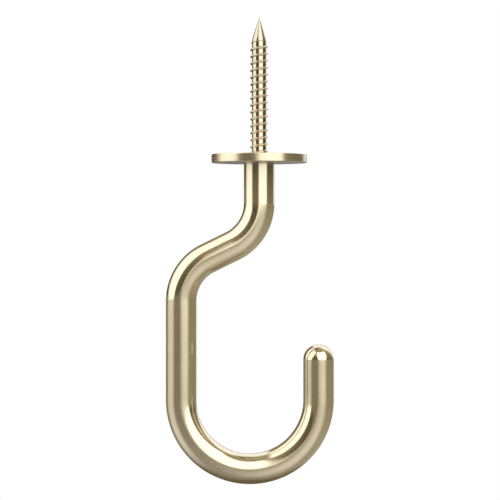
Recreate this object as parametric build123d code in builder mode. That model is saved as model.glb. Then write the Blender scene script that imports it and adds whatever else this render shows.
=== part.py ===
"""Ceiling hook: wood screw, round ceiling plate and bent round rod in one piece.

Millimetres, +Z up. The origin is the centre of the plate's upper face, the face that meets the
ceiling. The screw stands up from it along +Z, and the hook lies in the XZ plane and opens to +X.
"""
from build123d import *
import math
import os

# ---- driving dimensions ---------------------------------------------------------------------

# bent rod, from the plate down to the rounded nose
rod_diameter = 8.0
stem_length = 10.55          # straight rod under the plate, before the neck bends
neck_bend_radius = 12.5      # both bends of the neck, at the middle of the rod
neck_run = 7.2               # straight slope between the two bends
shank_offset = 20.45         # from the screw's axis to the axis of the shank
shank_length = 26.0          # straight part of the shank
bowl_inner_radius = 14.0     # the round seat that a load hangs in
nose_length = 10.6           # straight rod past the bowl, before the rounded end

# ceiling plate
plate_diameter = 25.0
plate_thickness = 2.25
plate_edge_chamfer = 0.2

# wood screw
screw_length = 36.05         # ceiling face to the point
core_diameter = 3.77
point_length = 6.1
point_shoulder_radius = 5.0  # blends the cone into the core
thread_pitch = 1.82
thread_depth = 0.5
thread_angle = 60.0          # between the two flanks, degrees
thread_first_crest = 0.97    # height of the lowest crest on the +X side
thread_end_gap = 0.15        # the thread has faded out this far below the shoulder
thread_fade_steepness = 1.1  # slope of the fade, as a multiple of the slope of the point
thread_root_overlap = 0.15   # how deep the thread is rooted in the core
foot_flare_margin = 0.2      # the flare at the screw's foot reaches this far past the thread

# ---- sizes that follow ----------------------------------------------------------------------

rod_radius = rod_diameter / 2
bowl_radius = bowl_inner_radius + rod_radius

# the neck leans as far as it must to carry the shank out to its offset
neck_reach = math.hypot(2 * neck_bend_radius, neck_run)
neck_angle = math.degrees(
    math.atan2(2 * neck_bend_radius, neck_run)
    + math.asin((shank_offset - 2 * neck_bend_radius) / neck_reach)
)

core_radius = core_diameter / 2
foot_flare = thread_depth + foot_flare_margin
shoulder_height = screw_length - point_length
thread_start = thread_first_crest - thread_pitch
ridge_height = thread_depth + thread_root_overlap
ridge_half_base = ridge_height * math.tan(math.radians(thread_angle / 2))

# the fade is a cone that meets the core a little below the shoulder; it is steeper than the
# point, so that past the shoulder it stays inside the metal
fade_slope = thread_fade_steepness * core_radius / point_length
fade_margin = 2 * thread_root_overlap
fade_end = shoulder_height - thread_end_gap
fade_bottom = fade_end - (thread_depth + fade_margin) / fade_slope
fade_top = fade_end + fade_margin / fade_slope
thread_turns = math.ceil((fade_top - thread_start) / thread_pitch) + 1

# ---- thread: a ridge swept along a right-hand helix, faded out towards the point -------------

with BuildPart() as screw_thread:
    with BuildLine() as root_line:
        # one edge for each turn keeps every flank face short
        for turn in range(thread_turns):
            Helix(
                pitch=thread_pitch,
                height=thread_pitch,
                radius=core_radius,
                center=(0, 0, thread_start + turn * thread_pitch),
            )
    first_turn = root_line.edges().sort_by(Axis.Z)[0]
    ridge_plane = Plane(origin=first_turn @ 0, x_dir=(1, 0, 0), z_dir=first_turn % 0)
    with BuildSketch(ridge_plane) as ridge_section:
        with BuildLine():
            Polyline(
                (-thread_root_overlap, -ridge_half_base),
                (thread_depth, 0),
                (-thread_root_overlap, ridge_half_base),
                close=True,
            )
        make_face()
    sweep(is_frenet=True)

    with BuildSketch(Plane.XZ) as fade_section:
        with BuildLine():
            Polyline(
                (0, thread_start - thread_pitch),
                (core_radius + thread_depth + fade_margin, thread_start - thread_pitch),
                (core_radius + thread_depth + fade_margin, fade_bottom),
                (core_radius - fade_margin, fade_top),
                (0, fade_top),
                close=True,
            )
        make_face()
    revolve(axis=Axis.Z, mode=Mode.INTERSECT)

# ---- the hook -------------------------------------------------------------------------------

with BuildPart() as ceiling_hook:
    # plate, screw core and point are round about one axis
    with BuildSketch(Plane.XZ) as turned_section:
        with BuildLine():
            Polyline(
                (0, -plate_thickness),
                (plate_diameter / 2, -plate_thickness),
                (plate_diameter / 2, 0),
                (core_radius, 0),
                (core_radius, shoulder_height),
                (0, screw_length),
                close=True,
            )
        make_face()
        rim_corners = turned_section.vertices().group_by(Axis.X)[-1]
        chamfer(rim_corners, length=plate_edge_chamfer)
        foot_corner = turned_section.vertices().sort_by_distance((core_radius, 0))[0]
        chamfer(foot_corner, length=foot_flare)
        shoulder = turned_section.vertices().sort_by_distance((core_radius, shoulder_height))[0]
        fillet(shoulder, radius=point_shoulder_radius)
    revolve(axis=Axis.Z)
    add(screw_thread.part)

    # the rod follows straight runs joined by tangent arcs
    with BuildLine(Plane.XZ) as rod_path:
        stem = Line((0, -plate_thickness), (0, -plate_thickness - stem_length))
        upper_bend = JernArc(stem @ 1, stem % 1, neck_bend_radius, -neck_angle)
        slope = PolarLine(upper_bend @ 1, neck_run, direction=upper_bend % 1)
        lower_bend = JernArc(slope @ 1, slope % 1, neck_bend_radius, neck_angle)
        shank = PolarLine(lower_bend @ 1, shank_length, direction=lower_bend % 1)
        bowl = JernArc(shank @ 1, shank % 1, bowl_radius, 180)
        nose = PolarLine(bowl @ 1, nose_length, direction=bowl % 1)
    with BuildSketch(Plane(origin=stem @ 0, z_dir=stem % 0)) as rod_section:
        Circle(rod_radius)
    sweep()

    with Locations(nose @ 1):
        Sphere(rod_radius, arc_size1=0, align=(Align.CENTER, Align.CENTER, Align.MIN))

ceiling_hook.part.label = "ceiling_hook"

os.makedirs("parts", exist_ok=True)
export_step(ceiling_hook.part, "parts/ceiling_hook.step")

overall = ceiling_hook.part.bounding_box()
seat = bowl @ 0.5
print("neck leans", round(neck_angle, 2), "degrees from the screw's axis")
print("overall size", overall.size)
print("lowest and highest", overall.min, overall.max)
print("middle of the rod under the load", seat)
print("solids", len(ceiling_hook.part.solids()), "volume", round(ceiling_hook.part.volume, 1))
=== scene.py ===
# %% [markdown]
# # A screw-in ceiling hook
# The hook is one piece of plated steel: a wood screw, a round plate that stops against the
# ceiling, and an 8 mm rod bent through a neck into an open bowl with a rounded nose. The packed
# model already holds its true size and place, so everything here is measured from that frame.
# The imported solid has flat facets, and polished metal shows every facet as a broken reflection,
# so each form is made again from the same sizes with a fine, smooth mesh.

# %% Load the frame and keep its box
import math

import bpy
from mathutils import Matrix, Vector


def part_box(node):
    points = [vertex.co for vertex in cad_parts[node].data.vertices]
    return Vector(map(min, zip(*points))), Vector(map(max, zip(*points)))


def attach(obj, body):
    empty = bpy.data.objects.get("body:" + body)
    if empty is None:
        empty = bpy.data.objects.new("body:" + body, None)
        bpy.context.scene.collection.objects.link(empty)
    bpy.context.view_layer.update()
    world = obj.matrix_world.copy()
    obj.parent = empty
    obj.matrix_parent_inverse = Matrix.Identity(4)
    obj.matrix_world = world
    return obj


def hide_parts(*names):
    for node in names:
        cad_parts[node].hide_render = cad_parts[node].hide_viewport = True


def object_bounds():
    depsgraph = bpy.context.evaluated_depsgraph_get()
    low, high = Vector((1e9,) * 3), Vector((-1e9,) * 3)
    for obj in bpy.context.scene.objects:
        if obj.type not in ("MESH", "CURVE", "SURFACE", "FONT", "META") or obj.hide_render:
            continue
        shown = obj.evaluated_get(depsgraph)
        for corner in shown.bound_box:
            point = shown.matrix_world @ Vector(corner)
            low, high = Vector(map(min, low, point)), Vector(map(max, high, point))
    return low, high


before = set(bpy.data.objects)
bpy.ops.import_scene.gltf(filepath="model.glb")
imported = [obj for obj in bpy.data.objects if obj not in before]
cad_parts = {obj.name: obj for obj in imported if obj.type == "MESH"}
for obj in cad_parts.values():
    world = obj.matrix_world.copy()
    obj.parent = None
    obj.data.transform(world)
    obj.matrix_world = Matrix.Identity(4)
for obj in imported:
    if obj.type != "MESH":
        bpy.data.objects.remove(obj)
NODE = "ceiling_hook"
BODY = "root"
cad_low, cad_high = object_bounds()
low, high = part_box(NODE)
print("frame box, mm:", [round(v * 1000, 2) for v in (*low, *high)])

# %% [markdown]
# ## Sizes
# Blender works in metres and hardware is drawn in millimetres, so one factor turns the sizes
# round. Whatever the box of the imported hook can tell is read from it: the plate is as wide as
# the box is deep, the screw is as tall as its top, and the bowl fills its bottom. Only sizes
# that no box can show are written down here.

# %% Driving sizes, and those that follow
MM = 0.001

rod_radius = 4.0 * MM
stem_length = 10.55 * MM
neck_radius = 12.5 * MM
neck_run = 7.2 * MM
plate_thickness = 2.25 * MM
plate_edge = 0.2 * MM
core_radius = 1.885 * MM
point_length = 6.1 * MM
shoulder_radius = 5.0 * MM
foot_flare = 0.7 * MM
thread_pitch = 1.82 * MM
thread_depth = 0.5 * MM
thread_root = 0.15 * MM
crest_round = 0.15 * MM
thread_first_crest = 0.97 * MM
thread_end_gap = 0.15 * MM
fade_steepness = 1.1

plate_radius = (high.y - low.y) / 2
screw_length = high.z
shank_x = low.x + rod_radius
nose_x = high.x - rod_radius
bowl_radius = (nose_x - shank_x) / 2
bowl_z = low.z + rod_radius + bowl_radius
nose_length = 10.6 * MM
neck_reach = math.hypot(2 * neck_radius, neck_run)
neck_angle = math.degrees(
    math.atan2(2 * neck_radius, neck_run)
    + math.asin((-shank_x - 2 * neck_radius) / neck_reach)
)
print("plate radius", round(plate_radius / MM, 2), "bowl radius", round(bowl_radius / MM, 2))
print("the neck leans", round(neck_angle, 1), "degrees")

# %% [markdown]
# ## Node trees as sums
# Geometry and shader trees are both chains of small sums. A thin wrapper round a node's output
# lets those sums be written with plain signs, and one method adds any other node: its settings
# are given first, then a value or a link for each socket.

# %% A socket that Python can do sums with
class Socket:
    """The output of a node, or with no output yet, just the tree that nodes are added to."""

    def __init__(self, tree, output=None):
        self.tree = tree
        self.output = output

    def node(self, kind, settings=None, sockets=None, out=0):
        made = self.tree.nodes.new(kind)
        for name, value in (settings or {}).items():
            setattr(made, name, value)
        for key, value in (sockets or {}).items():
            if isinstance(value, Socket):
                self.tree.links.new(value.output, made.inputs[key])
            else:
                made.inputs[key].default_value = value
        return Socket(self.tree, made.outputs[out]) if made.outputs else made

    def other(self, name):
        return Socket(self.tree, self.output.node.outputs[name])

    def maths(self, operation, *terms):
        return self.node("ShaderNodeMath", {"operation": operation}, dict(enumerate(terms)))

    def __add__(self, term):
        return self.maths("ADD", self, term)

    def __sub__(self, term):
        return self.maths("SUBTRACT", self, term)

    def __mul__(self, term):
        return self.maths("MULTIPLY", self, term)

    def __truediv__(self, term):
        return self.maths("DIVIDE", self, term)

    def __rsub__(self, term):
        return self.maths("SUBTRACT", term, self)

    __radd__ = __add__
    __rmul__ = __mul__

    def rise(self, start, end):
        """0 below start, 1 above end, with a soft S between them."""
        return self.node(
            "ShaderNodeMapRange",
            {"interpolation_type": "SMOOTHSTEP"},
            {"Value": self, "From Min": start, "From Max": end},
        )


# %% [markdown]
# ## Geometry Nodes, run once
# A tree is run on an object, its result is copied to a plain mesh, and the object that carried
# the modifier is thrown away. The modifier's inputs are set by their identifiers, which never
# change, while their names are only labels. Edges sharper than 30 degrees are then marked, so
# that smooth shading stops at them.

# %% Helpers to start a tree, to run it and to keep the mesh
SHARP_ANGLE = math.radians(30)


def linked(name, data):
    """A new object in the scene that shows the data."""
    made = bpy.data.objects.new(name, data)
    bpy.context.scene.collection.objects.link(made)
    return made


def start_tree(name, geometry, numbers):
    tree = bpy.data.node_groups.new(name, "GeometryNodeTree")
    if geometry:
        tree.interface.new_socket(geometry, in_out="INPUT", socket_type="NodeSocketGeometry")
    for label, kind in numbers.items():
        tree.interface.new_socket(label, in_out="INPUT", socket_type=kind)
    tree.interface.new_socket("Mesh", in_out="OUTPUT", socket_type="NodeSocketGeometry")
    return Socket(tree).node("NodeGroupInput")


def end_tree(shape, material):
    real = shape.node("GeometryNodeRealizeInstances", sockets={"Geometry": shape})
    coated = real.node("GeometryNodeSetMaterial", sockets={"Geometry": real, "Material": material})
    coated.node("NodeGroupOutput", sockets={"Mesh": coated})


def plain_piece(name, mesh):
    mesh.name = name
    mesh.shade_smooth()
    mesh.set_sharp_from_angle(angle=SHARP_ANGLE)
    print(name, len(mesh.polygons), "faces")
    return linked(name, mesh)


def run_tree(name, tree, carrier_data, values):
    carrier = linked(name + "_carrier", carrier_data)
    modifier = carrier.modifiers.new(name, "NODES")
    modifier.node_group = tree
    for item in tree.interface.items_tree:
        if item.in_out == "INPUT" and item.name in values:
            modifier[item.identifier] = values[item.name]
    depsgraph = bpy.context.evaluated_depsgraph_get()
    mesh = bpy.data.meshes.new_from_object(
        carrier.evaluated_get(depsgraph), preserve_all_data_layers=True, depsgraph=depsgraph
    )
    bpy.data.objects.remove(carrier)
    return plain_piece(name, mesh)


# %% [markdown]
# ## The finish of the rod
# The plating is a pale champagne metal. It is almost pure reflection, with a little scattered
# light where the polishing left a haze, so it is metallic but not quite all the way. Soft clouds
# and fine lines change its tone and its roughness a little. The rod was polished while it
# turned, which leaves faint rings round it. Those rings follow the bent rod, so they are drawn on
# a length that the sweep stores, not on straight object coordinates.

# %% Plated metal, with polishing lines along a given length
PLATING = (0.76, 0.67, 0.49)
PLATING_DEEP = (0.72, 0.63, 0.45)
# the plating's colour where shade is painted into it
PLATING_IN_PAINTED_SHADE = (0.42, 0.38, 0.29)
METALLIC = 0.96
CLOUD_SCALE = 180.0         # soft patches in the finish, over a metre
CLOUD_HAZE = 0.03
LINE_DEPTH = 0.02 * MM


def emptied(block):
    """Empties the nodes of a material or a world, and gives its bare tree to start from."""
    block.use_nodes = True
    block.node_tree.nodes.clear()
    return Socket(block.node_tree)


def own_axes(start):
    """X, Y and Z as the object itself measures them."""
    place = start.node("ShaderNodeTexCoord", out="Object")
    x = start.node("ShaderNodeSeparateXYZ", {}, {"Vector": place})
    return x, x.other("Y"), x.other("Z")


def blend(factor, first, second):
    """A colour between two, each given as three numbers or as a socket."""
    sides = {"Factor": factor}
    for key, side in (("A", first), ("B", second)):
        sides[key] = side if isinstance(side, Socket) else (*side, 1.0)
    return factor.node("ShaderNodeMix", {"data_type": "RGBA"}, sides, "Result")


def plated(name, line_length, painted_shade, polish, lines, haze):
    """Plated metal. Three functions start from its bare tree: line_length counts the polishing
    lines, the second is 1 where shade is painted into the colour, and polish is the roughness.
    lines says how deep the lines are, and haze how much they change the roughness."""
    material = bpy.data.materials.new(name)
    start = emptied(material)
    place = start.node("ShaderNodeTexCoord", out="Object")
    cloud = place.node(
        "ShaderNodeTexNoise", {}, {"Vector": place, "Scale": CLOUD_SCALE, "Detail": 2.0}, "Fac"
    )
    rings = start.node(
        "ShaderNodeTexNoise",
        {"noise_dimensions": "1D"},
        {"W": line_length(start), "Scale": 1.0, "Detail": 3.0},
        "Fac",
    )
    tone = blend((cloud * 0.5 + rings * 0.5).rise(0.3, 0.7), PLATING_DEEP, PLATING)
    # painted shade: the colour darkens towards the shaded plating where the mask is 1
    tone = blend(painted_shade(start), tone, PLATING_IN_PAINTED_SHADE)
    relief = start.node(
        "ShaderNodeBump", {}, {"Height": rings, "Strength": lines, "Distance": LINE_DEPTH}
    )
    metal = start.node(
        "ShaderNodeBsdfPrincipled",
        {},
        {
            "Base Color": tone,
            "Metallic": METALLIC,
            "Roughness": polish(start) + (rings - 0.5) * haze + (cloud - 0.5) * CLOUD_HAZE,
            "Normal": relief,
        },
    )
    start.node("ShaderNodeOutputMaterial", {}, {"Surface": metal})
    return material


print("plating", PLATING, "to", PLATING_DEEP)

# %% [markdown]
# Shade is painted into the rod's colour in the corner under the plate, where the plate's shade
# falls: most of all in the last millimetres, and a little over a finger's breadth.

# %% Finish of the rod
ROD_LINES = 2500.0          # polishing lines over a metre
ROD_POLISH = 0.12
CORNER_REACH, CORNER_SHADE = 3.0 * MM, 0.3
NECK_REACH, NECK_SHADE = 10.0 * MM, 0.5


def along_the_rod(start):
    return start.node("ShaderNodeAttribute", {"attribute_name": "along"}, out="Fac") * ROD_LINES


def shade_under_the_plate(start):
    # painted shade: the rod's colour is darker just under the plate
    below = 0.0 - own_axes(start)[2] - plate_thickness
    corner = 1.0 - below.rise(0.0, CORNER_REACH)
    neck = 1.0 - below.rise(0.0, NECK_REACH)
    return corner * CORNER_SHADE + neck * NECK_SHADE


def even_polish(start):
    return ROD_POLISH


rod_finish = plated(
    "champagne_plated_rod", along_the_rod, shade_under_the_plate, even_polish, lines=0.1, haze=0.04
)
print("made", rod_finish.name)

# %% [markdown]
# ## The line that the rod follows
# A bent rod is straight runs joined by arcs that meet them without a corner. A small walker
# keeps a place and a heading, and writes down points as it goes straight or turns, just as a
# bending bench feeds and turns the real rod.

# %% Walk the rod's centre line
ARC_STEP = 1.25     # degrees between two points on an arc
END_STEP = 0.1 * MM


class Walker:
    def __init__(self, x, z, heading):
        self.x, self.z, self.heading = x, z, heading
        self.points = [(x, z)]

    def step(self, length):
        self.x += length * math.cos(self.heading)
        self.z += length * math.sin(self.heading)
        self.points.append((self.x, self.z))

    def straight(self, length):
        """A run with a point close to each end, which keeps its shading straight."""
        self.step(END_STEP)
        self.step(length - 2 * END_STEP)
        self.step(END_STEP)

    def turn(self, radius, degrees):
        """Turns left for positive degrees and right for negative ones."""
        steps = math.ceil(abs(degrees) / ARC_STEP)
        step = math.radians(degrees) / steps
        chord = 2 * radius * math.sin(abs(step) / 2)
        for _ in range(steps):
            self.heading += step / 2
            self.step(chord)
            self.heading += step / 2

    def fade_in_nose(self, radius, steps=24):
        """Steps that shorten towards the tip, where the rounded end closes fast."""
        done = 0.0
        for i in range(1, steps + 1):
            reach = radius * math.sin(math.radians(90 * i / steps))
            self.step(reach - done)
            done = reach


rod_line = Walker(0.0, -plate_thickness / 2, math.radians(-90))
rod_line.straight(plate_thickness / 2 + stem_length)
rod_line.turn(neck_radius, -neck_angle)
rod_line.straight(neck_run)
rod_line.turn(neck_radius, neck_angle)
rod_line.straight(rod_line.z - bowl_z)
rod_line.turn(bowl_radius, 180)
rod_line.straight(nose_length)
rod_line.fade_in_nose(rod_radius)
print(len(rod_line.points), "points; the nose ends at x", round(rod_line.x / MM, 3))

# %% [markdown]
# ## The bent rod
# The rod could be a curve with a bevel, but then the rounded nose would need a second piece and
# a seam. A Geometry Nodes sweep keeps it in one: a circle runs along the line, and over the last
# radius of its length the circle shrinks as a half ball does. The distance walked is stored on
# the mesh for the polishing lines.

# %% Sweep the rod
ROD_SIDES = 128
TIP_WELD = 0.002 * MM


def rod_tree():
    given = start_tree(
        "sweep_rod",
        "Line",
        {"Rod radius": "NodeSocketFloat", "Sides": "NodeSocketInt"},
    )
    radius = given.other("Rod radius")
    walked = given.node("GeometryNodeSplineParameter", out="Length")
    total = given.node("GeometryNodeCurveLength", {}, {"Curve": given}, "Length")
    into_nose = (radius - (total - walked)) / radius
    into_nose = into_nose.maths("MINIMUM", into_nose.maths("MAXIMUM", into_nose, 0.0), 1.0)
    girth = 1.0 - into_nose * into_nose
    girth = girth.maths("SQRT", girth.maths("MAXIMUM", girth, 0.0))
    line = given.node(
        "GeometryNodeStoreNamedAttribute",
        {"data_type": "FLOAT", "domain": "POINT"},
        {"Geometry": given, "Name": "along", "Value": walked},
    )
    ring = given.node(
        "GeometryNodeCurvePrimitiveCircle",
        {"mode": "RADIUS"},
        {"Resolution": given.other("Sides"), "Radius": radius},
    )
    skin = given.node(
        "GeometryNodeCurveToMesh",
        {},
        {"Curve": line, "Profile Curve": ring, "Scale": girth, "Fill Caps": True},
    )
    closed = skin.node("GeometryNodeMergeByDistance", {}, {"Geometry": skin, "Distance": TIP_WELD})
    end_tree(closed, rod_finish)
    return given.tree


def curve_through(name, points):
    curve = bpy.data.curves.new(name, "CURVE")
    curve.dimensions = "3D"
    spline = curve.splines.new("POLY")
    spline.points.add(len(points) - 1)
    for point, (x, z) in zip(spline.points, points):
        point.co = (x, 0.0, z, 1.0)
    return curve


bent_rod = run_tree(
    "bent_rod",
    rod_tree(),
    curve_through("rod_line", rod_line.points),
    {"Rod radius": rod_radius, "Sides": ROD_SIDES},
)

# %% [markdown]
# ## Plate and screw blank
# Plate, screw core and point are round about one axis, so they come from one outline that is
# turned about Z, as on a lathe. Rounded corners are written as short arcs. The plate's edge is
# only just broken, but that thin round is what catches a bright line along the rim.

# %% Outline of the plate and the screw
EDGE_STEPS = 8
SHOULDER_STEPS = 12


def arc(centre_r, centre_z, radius, start, end, steps):
    """Points of an arc, from one angle to another, in degrees from the outward direction."""
    angles = [math.radians(start + (end - start) * i / steps) for i in range(steps + 1)]
    return [(centre_r + radius * math.cos(a), centre_z + radius * math.sin(a)) for a in angles]


shoulder_z = screw_length - point_length
point_lean = math.atan2(core_radius, point_length)
shoulder_reach = shoulder_radius * math.tan(point_lean / 2)
plate_outline = [
    (0.0, -plate_thickness),
    *arc(plate_radius - plate_edge, plate_edge - plate_thickness, plate_edge, -90, 0, EDGE_STEPS),
    *arc(plate_radius - plate_edge, -plate_edge, plate_edge, 0, 90, EDGE_STEPS),
    (core_radius + foot_flare, 0.0),
]
screw_outline = [
    (core_radius, foot_flare),
    *arc(
        core_radius - shoulder_radius,
        shoulder_z - shoulder_reach,
        shoulder_radius,
        0,
        math.degrees(point_lean),
        SHOULDER_STEPS,
    ),
    (0.0, screw_length),
]
print("outline of", len(plate_outline) + len(screw_outline), "points")

# %% [markdown]
# The lathe turns an outline into rings of four-sided faces, closed by triangles round the axis.
# Every long straight run first gets a point close to each of its ends, so that smooth shading
# does not bend the flats.

# %% Lathe
LATHE_SIDES = 192
SUPPORT = 0.03 * MM
LONG_RUN = 8 * SUPPORT


def supported(outline):
    """Adds a point close to each end of a long straight run, which keeps its shading flat."""
    points = [outline[0]]
    for (r0, z0), (r1, z1) in zip(outline, outline[1:]):
        run = math.hypot(r1 - r0, z1 - z0)
        if run > LONG_RUN:
            for part in (SUPPORT / run, 1 - SUPPORT / run):
                points.append((r0 + (r1 - r0) * part, z0 + (z1 - z0) * part))
        points.append((r1, z1))
    return points


def lathe(name, outline, sides):
    """A closed mesh from (radius, height) pairs; the first and the last lie on the axis."""
    rings = outline[1:-1]
    vertices = [(0.0, 0.0, outline[0][1]), (0.0, 0.0, outline[-1][1])]
    for radius, height in rings:
        for side in range(sides):
            angle = 2 * math.pi * side / sides
            vertices.append((radius * math.cos(angle), radius * math.sin(angle), height))
    last = (len(rings) - 1) * sides
    faces = []
    for side in range(sides):
        here, there = 2 + side, 2 + (side + 1) % sides
        faces.append((0, there, here))
        for step in range(0, last, sides):
            faces.append((here + step, there + step, there + step + sides, here + step + sides))
        faces.append((1, here + last, there + last))
    mesh = bpy.data.meshes.new(name)
    mesh.from_pydata(vertices, [], faces)
    return mesh


blank = lathe("plate_and_screw_core", supported(plate_outline + screw_outline), LATHE_SIDES)
print("turned", len(blank.polygons), "faces")

# %% [markdown]
# The turning tool leaves rings on the plate's faces and lines round its rim. The screw is
# smoother, with shade painted into its colour between its turns and in its foot.

# %% Finish of the plate and the screw
TURNED_LINES = 3000.0       # turning lines over a metre
SCREW_POLISH = 0.07
PLATE_HAZE = 0.16
FOOT_HEIGHT, FOOT_SHADE = 1.5 * MM, 0.2
STEP_UP = 0.05 * MM
CORE_SHADE = 0.55


def axis_and_height(start):
    """Distance from the screw's axis, and height."""
    across, deep, height = own_axes(start)
    squares = across * across + deep * deep
    return squares.maths("SQRT", squares), height


def out_from_the_axis(start):
    distance, height = axis_and_height(start)
    return (distance + height) * TURNED_LINES


def shade_on_the_core(start):
    """Painted shade: between the turns, and most of all in the corner where the screw stands on the
    plate.
    """
    distance, height = axis_and_height(start)
    foot = (1.0 - distance.rise(core_radius, 2 * core_radius)) * (1.0 - height.rise(0.0, FOOT_HEIGHT))
    core = height.rise(-STEP_UP, STEP_UP) * (1.0 - distance.rise(core_radius, 1.3 * core_radius))
    return foot * FOOT_SHADE + core * CORE_SHADE


def duller_on_the_plate(start):
    distance, _ = axis_and_height(start)
    return SCREW_POLISH + distance.rise(1.5 * core_radius, 2.5 * core_radius) * PLATE_HAZE


turned_finish = plated(
    "champagne_plated_turned",
    out_from_the_axis,
    shade_on_the_core,
    duller_on_the_plate,
    lines=0.12,
    haze=0.08,
)
blank.materials.append(turned_finish)
plate_and_core = plain_piece("plate_and_screw_core", blank)

# %% [markdown]
# ## Screw thread
# The thread is one ridge that follows a right-hand helix. Its two flanks stand at 60 degrees, so
# its section is a triangle with equal sides, and a circle of three points makes that. Towards
# the point the ridge sinks into the core until it is gone, which is how a rolled thread ends.

# %% Sizes of the helix
TRIANGLE_HEIGHT = 1.5       # of a triangle with equal sides, in radii of the circle round it

section_radius = (thread_depth + thread_root + crest_round) / TRIANGLE_HEIGHT
helix_radius = core_radius + thread_depth + crest_round - section_radius
helix_bottom = thread_first_crest - thread_pitch
fade_slope = fade_steepness * core_radius / point_length
fade_end = shoulder_z - thread_end_gap
fade_start = fade_end - thread_depth / fade_slope
helix_top = fade_end + thread_root / fade_slope
turns = (helix_top - helix_bottom) / thread_pitch
print("thread turns", round(turns, 2))

# %% Finish of the thread
THREAD_SHADE = 0.9


def shade_in_the_thread(start):
    """Painted shade: darker towards the root of the thread."""
    distance, _ = axis_and_height(start)
    return (1.0 - distance.rise(core_radius, core_radius + 0.8 * thread_depth)) * THREAD_SHADE


thread_finish = plated(
    "champagne_plated_thread",
    out_from_the_axis,
    shade_in_the_thread,
    duller_on_the_plate,
    lines=0.0,
    haze=0.04,
)
print("made", thread_finish.name)

# %% [markdown]
# The spiral that Blender draws is a plain coil. Its points are lowered to the first turn and,
# near the point of the screw, drawn in towards the axis. A triangle with rounded corners then
# runs along it.

# %% Wind the thread
THREAD_STEPS = 96
CREST_STEPS = 4


def thread_tree():
    given = start_tree(
        "wind_thread",
        None,
        {
            "Helix radius": "NodeSocketFloat",
            "Turns": "NodeSocketFloat",
            "Height": "NodeSocketFloat",
            "Bottom": "NodeSocketFloat",
            "Section radius": "NodeSocketFloat",
            "Crest round": "NodeSocketFloat",
            "Fade start": "NodeSocketFloat",
            "Fade slope": "NodeSocketFloat",
            "Steps per turn": "NodeSocketInt",
        },
    )
    radius = given.other("Helix radius")
    coil = given.node(
        "GeometryNodeCurveSpiral",
        {},
        {
            "Resolution": given.other("Steps per turn"),
            "Rotations": given.other("Turns"),
            "Start Radius": radius,
            "End Radius": radius,
            "Height": given.other("Height"),
            "Reverse": True,
        },
    )
    place = given.node("GeometryNodeInputPosition")
    parts = place.node("ShaderNodeSeparateXYZ", {}, {"Vector": place})
    height = parts.other("Z") + given.other("Bottom")
    sunk = (height - given.other("Fade start")) * given.other("Fade slope")
    keep = 1.0 - sunk.maths("MAXIMUM", sunk, 0.0) / radius
    spot = given.node(
        "ShaderNodeCombineXYZ", {}, {"X": parts * keep, "Y": parts.other("Y") * keep, "Z": height}
    )
    placed = given.node("GeometryNodeSetPosition", {}, {"Geometry": coil, "Position": spot})
    upright = given.node("GeometryNodeSetCurveNormal", {"mode": "Z_UP"}, {"Curve": placed})
    section = given.node(
        "GeometryNodeCurvePrimitiveCircle",
        {"mode": "RADIUS"},
        {"Resolution": 3, "Radius": given.other("Section radius")},
    )
    rounded = given.node(
        "GeometryNodeFilletCurve",
        {"mode": "POLY"},
        {"Curve": section, "Count": CREST_STEPS, "Radius": given.other("Crest round")},
    )
    ridge = given.node(
        "GeometryNodeCurveToMesh",
        {},
        {"Curve": upright, "Profile Curve": rounded, "Fill Caps": True},
    )
    end_tree(ridge, thread_finish)
    return given.tree


screw_thread = run_tree(
    "screw_thread",
    thread_tree(),
    bpy.data.meshes.new("thread_start"),
    {
        "Helix radius": helix_radius,
        "Turns": turns,
        "Height": helix_top - helix_bottom,
        "Bottom": helix_bottom,
        "Section radius": section_radius,
        "Crest round": crest_round,
        "Fade start": fade_start,
        "Fade slope": fade_slope,
        "Steps per turn": THREAD_STEPS,
    },
)
reach = max(math.hypot(v.co.x, v.co.y) for v in screw_thread.data.vertices)
print("thread's crest radius, mm", round(reach / MM, 3))

# %% [markdown]
# ## Join the frame
# Each piece rides on the hook's one body, and the imported solid that they stand for is hidden.

# %% Hand the pieces to the frame
for piece in (bent_rod, plate_and_core, screw_thread):
    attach(piece, BODY)
    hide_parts(NODE)
    print(piece.name, "rides on", BODY)

# %% [markdown]
# ## Camera
# The hook is seen straight from the front, from far enough away that the plate is nearly a
# line. The camera is level with the middle of the hook's box and looks along +Y.

# %% Level camera in front of the hook
FIELD_OF_VIEW = math.radians(11.768)
CAMERA_DISTANCE = 635.7 * MM
AIM_RIGHT, AIM_UP = 0.04 * MM, 0.11 * MM
centre = (cad_low + cad_high) / 2

camera_data = bpy.data.cameras.new("front_camera")
camera_data.sensor_width = 36.0
camera_data.lens = camera_data.sensor_width / 2 / math.tan(FIELD_OF_VIEW / 2)
camera = linked("front_camera", camera_data)
camera.location = (centre.x + AIM_RIGHT, -CAMERA_DISTANCE, centre.z + AIM_UP)
camera.rotation_euler = (math.radians(90), 0.0, 0.0)
bpy.context.scene.camera = camera
print("lens, mm", round(camera_data.lens, 1))

# %% [markdown]
# ## White background
# The background is white by its own colour, not by extra light: the world has a strength of 1
# for whatever looks straight at it, in a mirror or through glass, and a plain dimmer level for
# the light that it gives.

# %% World
WORLD_LEVEL = 0.8

world = bpy.data.worlds.new("white_room")
room = emptied(world)
ray = room.node("ShaderNodeLightPath", out="Is Camera Ray")
seen = ray.maths("MAXIMUM", ray, ray.other("Is Glossy Ray"))
seen = seen.maths("MAXIMUM", seen, ray.other("Is Transmission Ray"))
paint = room.node(
    "ShaderNodeBackground",
    {},
    {"Color": (1.0, 1.0, 1.0, 1.0), "Strength": WORLD_LEVEL + seen * (1.0 - WORLD_LEVEL)},
)
room.node("ShaderNodeOutputWorld", {}, {"Surface": paint})
bpy.context.scene.world = world
print("world level", WORLD_LEVEL)

# %% [markdown]
# ## Floor
# A pale round floor lies well below the hook. It catches the soft shadow in its middle and melts
# into the white round its rim, so that no edge of it shows from the side. Seen from underneath
# it is clear, so that it does not hide the hook.

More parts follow.
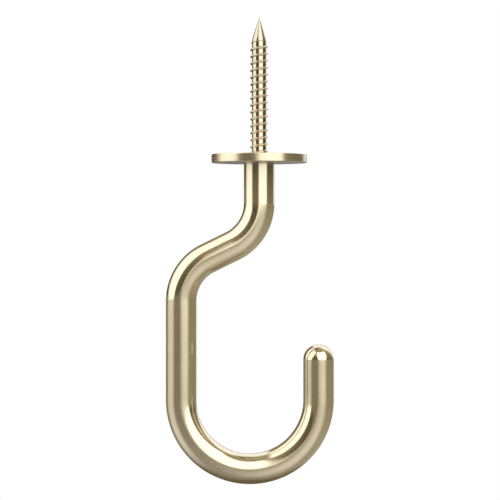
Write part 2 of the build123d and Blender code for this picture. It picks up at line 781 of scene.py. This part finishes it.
# %% Pale floor
FLOOR_DROP = 150 * MM
FLOOR_RADIUS = 550 * MM
FLOOR_CLEAR = 200 * MM
FLOOR_END = 0.95 * FLOOR_RADIUS
FLOOR_GREY = (0.9, 0.9, 0.9, 1.0)


def disc(name, radius, height, sides=96):
    angles = [2 * math.pi * i / sides for i in range(sides)]
    ring = [(radius * math.cos(a), radius * math.sin(a), height) for a in angles]
    mesh = bpy.data.meshes.new(name)
    mesh.from_pydata(ring, [], [tuple(range(sides))])
    return linked(name, mesh)


floor_paint = bpy.data.materials.new("pale_floor")
ground = emptied(floor_paint)
spot = ground.node("ShaderNodeTexCoord", out="Object")
from_middle = spot.node("ShaderNodeVectorMath", {"operation": "LENGTH"}, {0: spot}, "Value")
matt = ground.node("ShaderNodeBsdfDiffuse", {}, {"Color": FLOOR_GREY})
clear = ground.node("ShaderNodeBsdfTransparent")
underside = ground.node("ShaderNodeNewGeometry", out="Backfacing")
faint = from_middle.rise(FLOOR_CLEAR, FLOOR_END)
faint = faint.maths("MAXIMUM", faint, underside)
faded = ground.node("ShaderNodeMixShader", {}, {0: faint, 1: matt, 2: clear})
ground.node("ShaderNodeOutputMaterial", {}, {"Surface": faded})
floor = disc("floor", FLOOR_RADIUS, -FLOOR_DROP)
floor.data.materials.append(floor_paint)
floor.visible_glossy = False
print("floor radius", FLOOR_RADIUS, "m")

# %% [markdown]
# ## Light tent
# Polished metal shows the room more than it shows itself, so the room is the lighting. A wide,
# closed tent stands round the hook, far enough away that every part of the rod sees it alike.
# How brightly its cloth glows depends on two angles, both in degrees: azimuth is measured from
# the camera's side, positive to the right, and elevation from level. Below level it is a table.

# %% Two angles for each point of the tent
TENT_RADIUS = 4.0
HORIZON_SOFT = 0.6

tent_cloth = bpy.data.materials.new("tent_cloth")
cloth = emptied(tent_cloth)
aside, away, up = own_axes(cloth)
azimuth = aside.maths("ARCTAN2", aside, 0.0 - away) * math.degrees(1)
elevation = up.maths("ARCSINE", up / TENT_RADIUS) * math.degrees(1)
depth = 0.0 - elevation
above = elevation.rise(-HORIZON_SOFT, HORIZON_SOFT)


def larger(first, second):
    return first.maths("MAXIMUM", first, second)


def window(left, left_soft, right, right_soft, top, top_soft):
    """1 inside a soft-edged window; its edges may lean with elevation."""
    lit = (azimuth - left).rise(-left_soft, left_soft)
    lit = lit * (1.0 - (azimuth - right).rise(-right_soft, right_soft))
    return lit * (1.0 - (elevation - top).rise(-top_soft, top_soft))


print("tent radius", TENT_RADIUS, "m")

# %% [markdown]
# The upper half has three windows. A tall one at the left and one in front lean inwards over
# the hook, and their tops end below the roof. A wide one behind starts at both sides and is cut
# away low down straight behind.

# %% Windows
left_window = window(
    left=(1.0 - elevation.rise(2, 10)) * 4 - 115 - elevation * 0.33,
    left_soft=17,
    right=elevation * 0.45 - 55.5,
    right_soft=4,
    top=66.5 - larger(azimuth + 60, 0.0) * 0.42,
    top_soft=2.5,
)
front_window = window(
    left=-2.6 - elevation * 0.34,
    left_soft=6,
    right=elevation * 0.28 + 58.5,
    right_soft=4,
    top=58.5,
    top_soft=2.5,
)
rear_right = (azimuth - larger(135 - elevation * 0.55, 107)).rise(-4, 4)
rear_left = 1.0 - (azimuth + 187 - elevation * 0.72).rise(-3, 3)
straight_behind = larger(azimuth, 0.0 - azimuth).rise(158, 166)
rear_window = larger(rear_right, rear_left) * (1.0 - elevation.rise(65, 75))
rear_window = rear_window * (1.0 - straight_behind * (1.0 - elevation.rise(12, 26)))
print("windows: left, front and rear")

# %% [markdown]
# Between the windows the cloth is dim. It gets lighter with height, and a little lighter again
# close to the horizon, at the right side and under the roof.

# %% How bright the upper half is
LEFT_LIGHT = 1.72
FRONT_LIGHT = 1.95
REAR_LIGHT, REAR_RISE = 1.03, 0.3
CLOTH_LOW, CLOTH_HIGH = 0.07, 0.30
FOOT_LIGHT = 0.03
HORIZON_LIGHT = 0.2
RIGHT_LIGHT = 0.1
ROOF_LIGHT = 0.05

right_side = azimuth.rise(58, 85) * elevation.rise(3, 8) * (1.0 - elevation.rise(20, 50))
upper = CLOTH_LOW + elevation.rise(8, 48) * (CLOTH_HIGH - CLOTH_LOW)
upper = upper + elevation.rise(5, 10) * FOOT_LIGHT + (1.0 - elevation.rise(0.4, 2.3)) * HORIZON_LIGHT
upper = upper + right_side * RIGHT_LIGHT + elevation.rise(66, 76) * ROOF_LIGHT
upper = upper + left_window * (LEFT_LIGHT - upper)
upper = upper + front_window * (FRONT_LIGHT - upper)
upper = upper + rear_window * (REAR_LIGHT + elevation.rise(0, 30) * REAR_RISE - upper)
print("window light", LEFT_LIGHT, FRONT_LIGHT, REAR_LIGHT)

# %% [markdown]
# The table gives back the left and the front window, weaker and softer the deeper it is looked
# at, with a bright line along its far edge under them. It is darker behind the hook.

# %% How bright the table is
TABLE_NEAR, TABLE_FAR = 0.23, 0.33
TABLE_RIGHT = 0.07
TABLE_BEHIND_RIGHT = 0.05
TABLE_NADIR = 0.07
TABLE_WINDOW = 0.53
EDGE_FRONT, EDGE_LEFT = 0.22, 0.05
BEHIND_SHADE = 0.62

left_echo = (azimuth + 117).rise(-14, 14) * (1.0 - (azimuth + 60).rise(-14, 14))
echo_start = ((azimuth - (8 - depth * 0.2)) / (21 + depth * 0.2)).rise(-1, 1)
echo_end = 1.0 - (azimuth - (54 + depth * 0.12)).rise(-15, 15)
front_echo = echo_start * echo_end * (1.0 - depth.rise(34, 82))
echoes = larger(left_echo * (1.0 - depth.rise(30, 66)), front_echo)
edge_line = (azimuth + 2.5).rise(-3, 3) * echo_end * EDGE_FRONT + left_echo * EDGE_LEFT
lower = TABLE_NEAR + azimuth.rise(50, 70) * TABLE_RIGHT + depth.rise(0, 30) * (TABLE_FAR - TABLE_NEAR)
lower = lower - depth.rise(55, 85) * TABLE_NADIR + echoes * TABLE_WINDOW
lower = lower + edge_line * (1.0 - depth.rise(1.5, 8))
lower = lower + azimuth.rise(112, 130) * depth.rise(24, 36) * TABLE_BEHIND_RIGHT
behind_right = (azimuth - 164 + larger(depth - 40, 0.0) * 1.1).rise(-3, 3)
behind = larger(behind_right, 1.0 - azimuth.rise(-158, -132))
lower = lower * (1.0 - behind * depth.rise(3, 22) * BEHIND_SHADE)
print("table", TABLE_NEAR, "to", TABLE_FAR)

# %% [markdown]
# What glows dimly is warm, and bright windows are white. The rear window and the strip of table
# under it are a little cool, as daylight is.

# %% Colour of the tent
CLOTH_TINT = (1.16, 1.0, 0.62)
TABLE_TINT = (1.08, 1.0, 0.78)
TABLE_TINT_DEEP = (1.04, 1.0, 0.92)
TABLE_TINT_RIGHT = (1.1, 1.0, 0.68)
COOL = (0.96, 1.0, 1.07)
WHITE = (1.0, 1.0, 1.0)

level = lower + above * (upper - lower)
table_tint = blend(depth.rise(4, 24), TABLE_TINT, TABLE_TINT_DEEP)
right_table = azimuth.rise(45, 70) * (1.0 - depth.rise(12, 36) * 0.6)
table_tint = blend(right_table, table_tint, TABLE_TINT_RIGHT)
dim_tint = blend(above, table_tint, CLOTH_TINT)
tint = blend(level.rise(0.25, 1.1), dim_tint, WHITE)
cool_part = larger(behind * (1.0 - depth.rise(8, 20)) * (1.0 - above), rear_window * above)
tint = blend(cool_part, tint, COOL)
light = tint.node("ShaderNodeVectorMath", {"operation": "SCALE"}, {0: tint, "Scale": level}, "Vector")
glow = cloth.node("ShaderNodeEmission", {}, {"Color": light, "Strength": 1.0})
cloth.node("ShaderNodeOutputMaterial", {}, {"Surface": glow})
tent_cloth.cycles.emission_sampling = "NONE"
print("tent cloth:", len(tent_cloth.node_tree.nodes), "nodes")

# %% [markdown]
# The tent is a ball turned on the same lathe as the plate. The camera looks through it to the
# white background, and it casts no shadow.

# %% Hang the tent
TENT_RINGS = 90
TENT_SIDES = 180

tilts = [math.pi * ring / TENT_RINGS - math.pi / 2 for ring in range(1, TENT_RINGS)]
tent_outline = [
    (0.0, -TENT_RADIUS),
    *[(TENT_RADIUS * math.cos(tilt), TENT_RADIUS * math.sin(tilt)) for tilt in tilts],
    (0.0, TENT_RADIUS),
]
tent = linked("light_tent", lathe("light_tent", tent_outline, TENT_SIDES))
tent.data.materials.append(tent_cloth)
tent.visible_camera = False
tent.visible_shadow = False
print("tent of", len(tent.data.polygons), "faces")

# %% [markdown]
# ## Card of painted shade
# A small card of painted shade lies close under the bowl and reaches back from it, a little
# wider the further it goes. It glows dimly and nothing but the metal sees it: the underside of
# the bowl takes its dark edge from it, a painted reflection of shade.

# %% Card of painted shade under the bowl
CARD_DROP = 10 * MM
CARD_RADIUS = 70 * MM
CARD_HALF_WIDTH = 20 * MM
CARD_SPREAD = 0.22
CARD_REACH = 50 * MM
CARD_SOFT = 8 * MM
CARD_COLOUR = (1.3, 1.0, 0.5, 1.0)
CARD_LEVEL = 0.12

card_paint = bpy.data.materials.new("painted_shade_card")
shade = emptied(card_paint)
across, back, _ = own_axes(shade)
outside = across.maths("ABSOLUTE", across) - back * CARD_SPREAD - CARD_HALF_WIDTH
covered = (1.0 - outside.rise(-CARD_SOFT, CARD_SOFT)) * back.rise(-CARD_SOFT, CARD_SOFT)
covered = covered * (1.0 - back.rise(CARD_REACH - CARD_SOFT, CARD_REACH))
dark = shade.node("ShaderNodeEmission", {}, {"Color": CARD_COLOUR, "Strength": CARD_LEVEL})
clear = shade.node("ShaderNodeBsdfTransparent")
patch = shade.node("ShaderNodeMixShader", {}, {0: covered, 1: clear, 2: dark})
shade.node("ShaderNodeOutputMaterial", {}, {"Surface": patch})
card_paint.cycles.emission_sampling = "NONE"
card = disc("painted_shade_card", CARD_RADIUS, cad_low[2] - CARD_DROP)
card.location.x = (shank_x + nose_x) / 2
card.data.materials.append(card_paint)
card.visible_camera = False
card.visible_diffuse = False
card.visible_shadow = False
print("dark card, mm below the bowl:", round(CARD_DROP / MM, 1))

# %% [markdown]
# ## Finish
# Colours are shown as they are written, with no film look.

# %% Colours as they are written
bpy.context.scene.view_settings.view_transform = "Standard"
